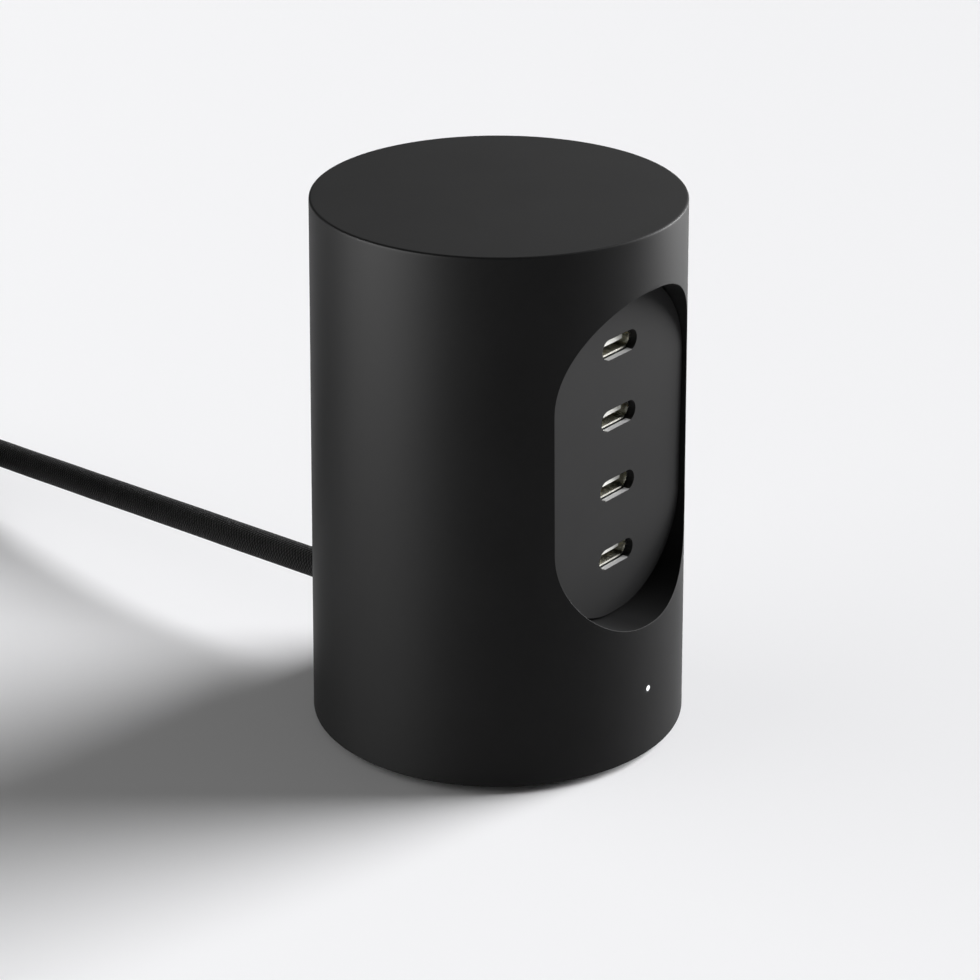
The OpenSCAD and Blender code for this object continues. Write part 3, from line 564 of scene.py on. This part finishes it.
# The grid: columns all round, rows below the recess, and the first, the last and the number of
# rows beside it. Each window names the rows and the columns that are left open for one hole.
COLUMNS = 192
ROWS_BELOW = [0.2, 1.5, 3.3, 5.0, 6.7, 8.2, 9.7, 10.7, 11.7, 12.7, 13.7, 15.2, 16.3]
RECESS_ROWS = (17.4, 86.0, 64)
RECESS_WINDOW = ((len(ROWS_BELOW), len(ROWS_BELOW) + RECESS_ROWS[2]), (-30, 30))
LIGHT_WINDOW = ((6, 10), (-2, 2))
LEAD_WINDOW = ((2, 13), (84, 108))
ROWS_ABOVE = (88.2, 89.0)
TOP_RADII = (29.2, 27.5, 24, 19, 13, 7, 2.5)
CEILING_RADII = (20, 10, 3)
FILLET_STEPS, TOP_STEPS, BOTTOM_STEPS = 5, 6, 4
FARTHEST_OUT, HALVINGS = 4.0, 50   # the search for a hole's outline
SHARP_ANGLE = 35          # degrees


def cone_r(height, inset=0.0):
    """The taper's radius at a height, less inset."""
    return BOTTOM_R + (TOP_R - BOTTOM_R) * height / HOUSING_H - inset


def round_rect_gap(x, z, half_w, half_h, r):
    """How far a point lies outside a round-cornered rectangle, and the way straight out."""
    qx, qz = abs(x) - (half_w - r), abs(z) - (half_h - r)
    sx, sz = math.copysign(1, x), math.copysign(1, z)
    if qx > 0 and qz > 0:
        reach = math.hypot(qx, qz)
        return reach - r, (sx * qx / reach, sz * qz / reach)
    if qx > qz:
        return qx - r, (sx, 0.0)
    return qz - r, (0.0, sz)


def outline_towards(x, z, shape):
    """The point of such an outline in the direction (x, z), and the way out there."""
    low, high = 0.0, FARTHEST_OUT
    for _ in range(HALVINGS):
        middle = (low + high) / 2
        if round_rect_gap(x * middle, z * middle, *shape)[0] < 0:
            low = middle
        else:
            high = middle
    return (x * low, z * low), round_rect_gap(x * high, z * high, *shape)[1]


class Shell:
    """Collects rings of points on a surface of revolution and the openings cut through it."""

    def __init__(self):
        self.bm = bmesh.new()

    def point(self, x, y, z):
        """A new vertex, with z measured from the housing's lower edge."""
        return self.bm.verts.new((x * MM, y * MM, (z + FOOT_GAP) * MM))

    def circle(self, radius, height):
        """A ring with one point a column, from the front on."""
        turns = [math.tau * k / COLUMNS for k in range(COLUMNS)]
        return [self.point(radius * math.sin(turn), -radius * math.cos(turn), height)
                for turn in turns]

    def quads(self, first, second, skip=()):
        """Joins two rings all round, apart from the columns in skip."""
        for k in range(len(first)):
            if k not in skip:
                m = (k + 1) % len(first)
                self.bm.faces.new((first[k], first[m], second[m], second[k]))

    def fan(self, ring, height):
        """Closes a ring with triangles to a point on the axis."""
        middle = self.point(0, 0, height)
        for a, b in zip(ring, ring[1:] + ring[:1]):
            self.bm.faces.new((a, b, middle))


def window_loop(rings, rows, columns):
    """The vertices round a window of the grid, in order: rows and columns are first and last."""
    r0, r1 = rows
    c0, c1 = columns
    loop = [(r0, c) for c in range(c0, c1)] + [(r, c1) for r in range(r0, r1)]
    loop += [(r1, c) for c in range(c1, c0, -1)] + [(r, c0) for r in range(r1, r0, -1)]
    return [rings[r][c % COLUMNS] for r, c in loop]


def ease_in(loop, shape, centre_z, front, steps, reach):
    """Rings that blend from a window's loop to a hole's outline grown by reach, on the cone."""
    rings = []
    for k in range(1, steps + 1):
        share = k / steps
        ring = []
        for vert in loop:
            x, z = vert.co.x / MM, vert.co.z / MM - FOOT_GAP - centre_z
            (px, pz), (nx, nz) = outline_towards(x, z, shape)
            qx = x + (px + nx * reach - x) * share
            qz = z + (pz + nz * reach - z) * share
            depth = math.sqrt(cone_r(qz + centre_z) ** 2 - qx * qx)
            ring.append((qx, front * depth, qz + centre_z))
        rings.append(ring)
    return rings


def hole_ring(loop, shape, centre_z, front, grow, depth_at):
    """A ring on a hole's outline grown by grow, at the depth that depth_at gives for a point."""
    ring = []
    for vert in loop:
        x, z = vert.co.x / MM, vert.co.z / MM - FOOT_GAP - centre_z
        (px, pz), (nx, nz) = outline_towards(x, z, shape)
        qx, qz = px + nx * grow, pz + nz * grow + centre_z
        ring.append((qx, front * depth_at(qx, qz), qz))
    return ring


def pierce(shell, outer_loop, inner_loop, shape, centre_z, front, edge, steps, middle, wall_grow):
    """Joins the outer and the inner window of the shell through a hole with a rounded rim."""
    def outside(x, z):
        return math.sqrt(cone_r(z) ** 2 - x * x)

    def inside(x, z):
        return math.sqrt(cone_r(z, WALL) ** 2 - x * x)

    rings = ease_in(outer_loop, shape, centre_z, front, steps, edge)
    for k in range(1, FILLET_STEPS + 1):
        turn = math.pi / 2 * k / FILLET_STEPS
        grow = edge * (1 - math.sin(turn))
        drop = edge * (1 - math.cos(turn))
        rings.append(hole_ring(outer_loop, shape, centre_z, front, grow,
                               lambda x, z, drop=drop: outside(x, z) - drop))
    for grow, depth in middle:
        rings.append(hole_ring(outer_loop, shape, centre_z, front, grow,
                               lambda x, z, depth=depth: depth))
    rings.append(hole_ring(outer_loop, shape, centre_z, front, wall_grow, inside))
    before = outer_loop
    for ring in rings:
        verts = [shell.point(*p) for p in ring]
        shell.quads(before, verts)
        before = verts
    shell.quads(before, inner_loop)


def quarter_turn(steps, last):
    """The sine and cosine of each step from 0 up to 90 degrees, the end itself only if last."""
    turns = [math.pi / 2 * k / steps for k in range(steps + last)]
    return [(math.sin(turn), math.cos(turn)) for turn in turns]


def shell_rings(shell):
    """The shell's rings: outer wall, top, inner wall, ceiling and foot, each from low to high."""
    low, high, count = RECESS_ROWS
    rows = ROWS_BELOW + [low + (high - low) * k / count for k in range(count + 1)]
    edge_z = HOUSING_H - TOP_EDGE
    edge_r = cone_r(edge_z) - TOP_EDGE
    ceiling = HOUSING_H - ROOF
    foot_r = BOTTOM_R - BOTTOM_EDGE
    top = [(cone_r(z), z) for z in ROWS_ABOVE]
    top += [(edge_r + TOP_EDGE * cos, edge_z + TOP_EDGE * sin)
            for sin, cos in quarter_turn(TOP_STEPS, True)]
    top += [(r, HOUSING_H) for r in TOP_RADII]
    profiles = [[(cone_r(z), z) for z in rows], top, [(cone_r(z, WALL), z) for z in rows],
                [(r, ceiling) for r in (cone_r(ceiling, WALL), *CEILING_RADII)],
                [(cone_r(0, WALL), 0)] + [(foot_r + BOTTOM_EDGE * sin, BOTTOM_EDGE * (1 - cos))
                                          for sin, cos in quarter_turn(BOTTOM_STEPS, False)]]
    return [[shell.circle(r, z) for r, z in profile] for profile in profiles]


def make_housing():
    """The tower's shell, its sunken recess and ledge, and the holes for the light and the lead."""
    shell = Shell()
    outer, top, inner, ceiling, foot = shell_rings(shell)
    windows = (RECESS_WINDOW, LIGHT_WINDOW, LEAD_WINDOW)
    for rings in (outer, inner):
        for r in range(len(rings) - 1):
            skip = {c % COLUMNS for (r0, r1), (c0, c1) in windows if r0 <= r < r1
                    for c in range(c0, c1)}
            shell.quads(rings[r], rings[r + 1], skip)
    for rings in ([outer[-1]] + top, [inner[-1]] + ceiling, [inner[0]] + foot + [outer[0]]):
        for first, second in zip(rings, rings[1:]):
            shell.quads(first, second)
    shell.fan(top[-1], HOUSING_H)
    shell.fan(ceiling[-1], HOUSING_H - ROOF)

    recess = (RECESS_W / 2, RECESS_H / 2, RECESS_R)
    ledge_back = PANEL_BACK - LEDGE_T
    into_recess = [(0.0, PANEL_BACK + WALL_RING), (0.0, PANEL_BACK), (-LEDGE_W, PANEL_BACK),
                   (-LEDGE_W, ledge_back), (FRAME_W, ledge_back)]
    # window, hole, its height and side, its rim, blending rings, rings inside, growth at the back
    cuts = [(RECESS_WINDOW, recess, RECESS_Z, -1, RIM_EDGE, 10, into_recess, FRAME_W),
            (LIGHT_WINDOW, (LIGHT_HOLE_R,) * 3, LIGHT_Z, -1, LIGHT_EDGE, 2, [], 0.0),
            (LEAD_WINDOW, (LEAD_HOLE_R,) * 3, LEAD_Z, 1, LEAD_EDGE, 4, [], 0.0)]
    for window, *cut in cuts:
        pierce(shell, window_loop(outer, *window), window_loop(inner, *window), *cut)

    bm = shell.bm
    bmesh.ops.recalc_face_normals(bm, faces=bm.faces)
    mesh = bpy.data.meshes.new("tower_housing")
    for face in bm.faces:
        face.smooth = True
    bm.to_mesh(mesh)
    bm.free()
    mesh.materials.append(FINISHES["housing_black"])
    mesh.set_sharp_from_angle(angle=math.radians(SHARP_ANGLE))
    draft = bpy.data.objects.new("draft_housing", mesh)
    scene.collection.objects.link(draft)
    even = draft.modifiers.new("even_shading", "WEIGHTED_NORMAL")
    even.keep_sharp = True
    housing = plain_mesh(draft, "tower_housing")
    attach(housing, "root")
    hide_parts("housing")


make_housing()


# The port panel, with a painted highlight on the upward floor of each slot, in millimetres
STRIP_ENDS, STRIP_BACK = (-2.85, 3.3), -23.0
SLOTS_Z = (30, 76)        # all slots lie between these heights
# only slot floors turned at least this far up take the painted highlight
FACES_UP = 0.9            # the least upward part of a floor's normal
CUT_WITHIN = 1e-7


def make_port_panel():
    """The solid model's panel, its slot floors cut where the painted highlight strip ends."""
    panel = bpy.data.objects.new("sunken_port_panel", frame["nodes"]["port_panel"].data.copy())
    scene.collection.objects.link(panel)
    panel.data.transform(frame["nodes"]["port_panel"].matrix_world)
    panel.data.materials.append(FINISHES["slot_floor"])

    def lay_strips(bm):
        """Cuts the panel at the strips' ends and back, and gives the upward slot floors between the
        light grey painted highlight.
        """
        cuts = [((0, STRIP_BACK, 0), (0, 1, 0))] + [((x, 0, 0), (1, 0, 0)) for x in STRIP_ENDS]
        for place, normal in cuts:
            bmesh.ops.bisect_plane(bm, geom=bm.verts[:] + bm.edges[:] + bm.faces[:],
                                   dist=CUT_WITHIN, plane_co=Vector(place) * MM, plane_no=normal)
        for face in bm.faces:
            middle = face.calc_center_median() / MM
            inside = (STRIP_ENDS[0] < middle.x < STRIP_ENDS[1] and middle.y < STRIP_BACK
                      and SLOTS_Z[0] < middle.z < SLOTS_Z[1])
            # the painted highlight: upward slot floor faces inside the strip
            face.material_index = int(inside and face.normal.z > FACES_UP)

    edit_mesh(panel, lay_strips)
    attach(panel, "root")
    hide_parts("port_panel")


make_port_panel()


# The floor, in metres apart from the width of its faint clouds
FLOOR_SIZE, FLOOR_CELLS = 6, 8
FLOOR_SHADES = ("#f3f3f3", "#f4f4f4")
FLOOR_CLOUDS_MM = 900


def make_floor():
    """A pale seamless studio floor."""
    bm = bmesh.new()
    bmesh.ops.create_grid(bm, x_segments=FLOOR_CELLS, y_segments=FLOOR_CELLS, size=FLOOR_SIZE)
    mesh = bpy.data.meshes.new("studio_floor")
    bm.to_mesh(mesh)
    bm.free()
    floor = bpy.data.objects.new("studio_floor", mesh)
    scene.collection.objects.link(floor)
    material, tree, shader = finish_of("white_studio_paper", 0.9, specular=0.0)
    connect(tree, shader, ramp_between(tree, grain(tree, FLOOR_CLOUDS_MM), *FLOOR_SHADES))
    mesh.materials.append(material)


# The key light
SUN_FROM = Vector((0.862, -0.507, 0.0))
SUN_HEIGHT = 24           # degrees above the floor
SUN_SPREAD = 40           # degrees across
SUN_STRENGTH = 6.5
SUN_COLOUR = (0.985, 0.985, 1.005)


def make_sun():
    """The key light: a very large soft disc, low on the right."""
    data = bpy.data.lights.new("key_disc", "SUN")
    data.energy = SUN_STRENGTH
    data.color = SUN_COLOUR
    data.angle = math.radians(SUN_SPREAD)
    sun = bpy.data.objects.new("key_disc", data)
    scene.collection.objects.link(sun)
    height = math.radians(SUN_HEIGHT)
    towards = SUN_FROM.normalized() * math.cos(height) + Vector((0, 0, math.sin(height)))
    sun.matrix_world = towards.to_track_quat("Z", "Y").to_matrix().to_4x4()


# Soft boxes: way from the tower, distance, width and height, watts, height of their middle, and
# whether they show only in the gloss of the surfaces. The two strips stay lower than the tower's
# top, so that the flat top never mirrors them.
SOFT_BOXES = {
    "left_strip": ((-0.864, 0.503), 0.6, (0.56, 0.085), 25, 0.043, True),
    "right_strip": ((0.926, -0.377), 0.6, (0.3, 0.085), 9, 0.043, True),
    "left_fill": ((-0.613, 0.79), 2.0, (3.4, 1.6), 17, 0.8, False),
}
AIM_AT = Vector((0, 0, 0.05))


def make_soft_box(name, direction, distance, size, power, height, gloss_only):
    """A soft rectangular light that points at the tower and is never seen itself."""
    data = bpy.data.lights.new(name, "AREA")
    data.shape = "RECTANGLE"
    data.size, data.size_y = size
    data.energy = power
    lamp = bpy.data.objects.new(name, data)
    scene.collection.objects.link(lamp)
    towards = Vector((*direction, 0)).normalized()
    place = towards * distance + Vector((0, 0, height))
    aim = (place - AIM_AT).to_track_quat("Z", "Y").to_matrix().to_4x4()
    lamp.matrix_world = Matrix.Translation(place) @ aim
    lamp.visible_diffuse = not gloss_only
    lamp.visible_camera = False


# The surroundings: dim for all light, a glow for the gloss only, a backdrop for the camera only
DIM_STRENGTH = 0.08
BACKDROP = "#f3f3f5"
BACK_GLOW = (0.83, -0.13, 0.54)   # where the back is brightest, to the right of straight ahead
GLOW_FROM, GLOW_TO = 0.62, 1.0    # how near to that way the glow starts, and where it is full
GLOW_LEAST, GLOW_MOST = 0.06, 3.0


def make_world():
    """Dim even surroundings with a brighter back, and a pale backdrop for the camera."""
    world = bpy.data.worlds.new("studio")
    scene.world = world
    world.use_nodes = True
    tree = world.node_tree
    tree.nodes.clear()
    ray = add(tree, "ShaderNodeLightPath")
    dim = add(tree, "ShaderNodeBackground", Color=linear("#ffffff"), Strength=DIM_STRENGTH)
    pale = add(tree, "ShaderNodeBackground", Color=linear(BACKDROP), Strength=1.0)
    view = add(tree, "ShaderNodeTexCoord").outputs["Generated"]
    across = add(tree, "ShaderNodeVectorMath", {"operation": "DOT_PRODUCT"}, _0=view, _1=BACK_GLOW)
    back = add(tree, "ShaderNodeMapRange", Value=across.outputs["Value"], From_Min=GLOW_FROM,
               From_Max=GLOW_TO, To_Min=GLOW_LEAST, To_Max=GLOW_MOST)
    glow = add(tree, "ShaderNodeBackground", Color=linear("#ffffff"),
               Strength=back.outputs["Result"])
    gloss = add(tree, "ShaderNodeMixShader", _0=ray.outputs["Is Glossy Ray"], _1=dim.outputs[0],
                _2=glow.outputs[0])
    seen = add(tree, "ShaderNodeMixShader", _0=ray.outputs["Is Camera Ray"], _1=gloss.outputs[0],
               _2=pale.outputs[0])
    add(tree, "ShaderNodeOutputWorld", Surface=seen.outputs[0])


make_floor()
make_sun()
for box, values in SOFT_BOXES.items():
    make_soft_box(box, *values)
make_world()
